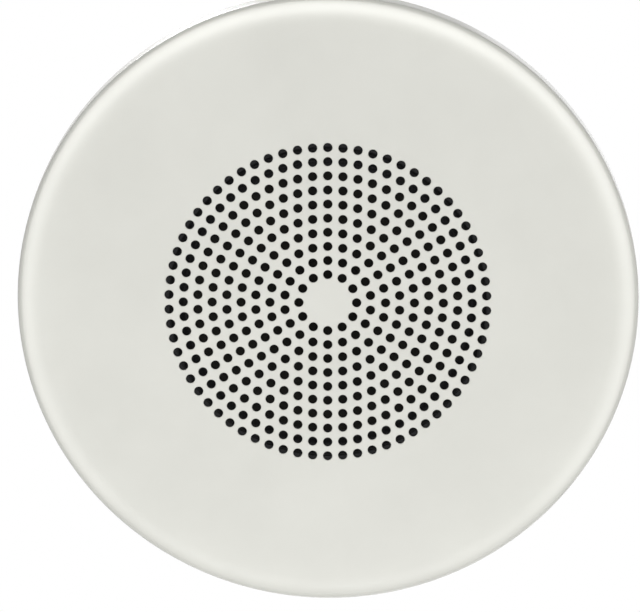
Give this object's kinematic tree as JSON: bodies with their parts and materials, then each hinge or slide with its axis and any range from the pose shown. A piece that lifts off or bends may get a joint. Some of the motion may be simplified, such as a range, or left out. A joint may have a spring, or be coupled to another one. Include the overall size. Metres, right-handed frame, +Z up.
{
  "type": "in-ceiling loudspeaker",
  "caption": "Round in-ceiling loudspeaker: off-white perforated steel baffle with a cone driver, line transformer and torsion springs behind it.",
  "frame": {"origin": "centre of the ring where the baffle's skirt meets the ceiling", "axes": "+Z up into the ceiling void, so the perforated face looks down along -Z; +X towards the driver's terminal board, +Y towards the transformer"},
  "size_m": [0.327, 0.327, 0.0748],
  "materials": {
    "baffle_paint": "satin off-white powder coat on steel",
    "zinc_steel": "bright zinc-plated steel",
    "basket_coat": "black baked coat on stamped steel",
    "gasket_foam": "black closed-cell foam",
    "cone_paper": "dark pressed paper pulp",
    "surround_cloth": "black doped cloth",
    "spider_cloth": "resin-dipped cotton cloth",
    "former_foil": "thin aluminium foil",
    "coil_copper": "enamelled copper wire",
    "ferrite": "dark ground ferrite",
    "board_phenolic": "brown phenolic paper",
    "tinned_brass": "tin-plated brass",
    "tinsel": "braided copper tinsel",
    "core_steel": "varnished laminated silicon steel",
    "bobbin_nylon": "natural nylon",
    "winding_tape": "yellow polyester tape over copper",
    "lead_red": "red PVC insulation",
    "lead_black": "black PVC insulation"
  },
  "bodies": {
    "frame": {"grille_baffle": "baffle_paint", "weld_studs": "zinc_steel", "gasket_ring": "gasket_foam", "stud_nuts": "zinc_steel", "basket": "basket_coat", "front_plate": "zinc_steel", "magnet_ring": "ferrite", "pole_yoke": "zinc_steel", "plate_rivets": "zinc_steel", "surround": "surround_cloth", "spider": "spider_cloth", "terminal_board": "board_phenolic", "board_rivet": "zinc_steel", "terminal_lugs": "tinned_brass", "transformer_core": "core_steel", "transformer_bobbin": "bobbin_nylon", "transformer_winding": "winding_tape", "transformer_strap": "zinc_steel", "tap_lugs": "tinned_brass", "strap_rivets": "zinc_steel", "spring_bracket_right": "zinc_steel", "spring_bracket_left": "zinc_steel", "torsion_spring_right": "zinc_steel", "torsion_spring_left": "zinc_steel", "spring_pins": "zinc_steel", "tinsel_lead_plus": "tinsel", "tinsel_lead_minus": "tinsel", "secondary_lead_red": "lead_red", "secondary_lead_black": "lead_black"},
    "diaphragm": {"cone": "cone_paper", "dust_cap": "cone_paper", "coil_former": "former_foil", "voice_coil": "coil_copper"}
  },
  "joints": [
    {"name": "diaphragm_travel", "type": "slide", "parent": "frame", "child": "diaphragm", "axis": [0, 0, 1], "range_m": [-0.002, 0.002], "stiffness_N_per_m": 4000, "deforming": ["surround", "spider", "tinsel_lead_plus", "tinsel_lead_minus"]}
  ]
}
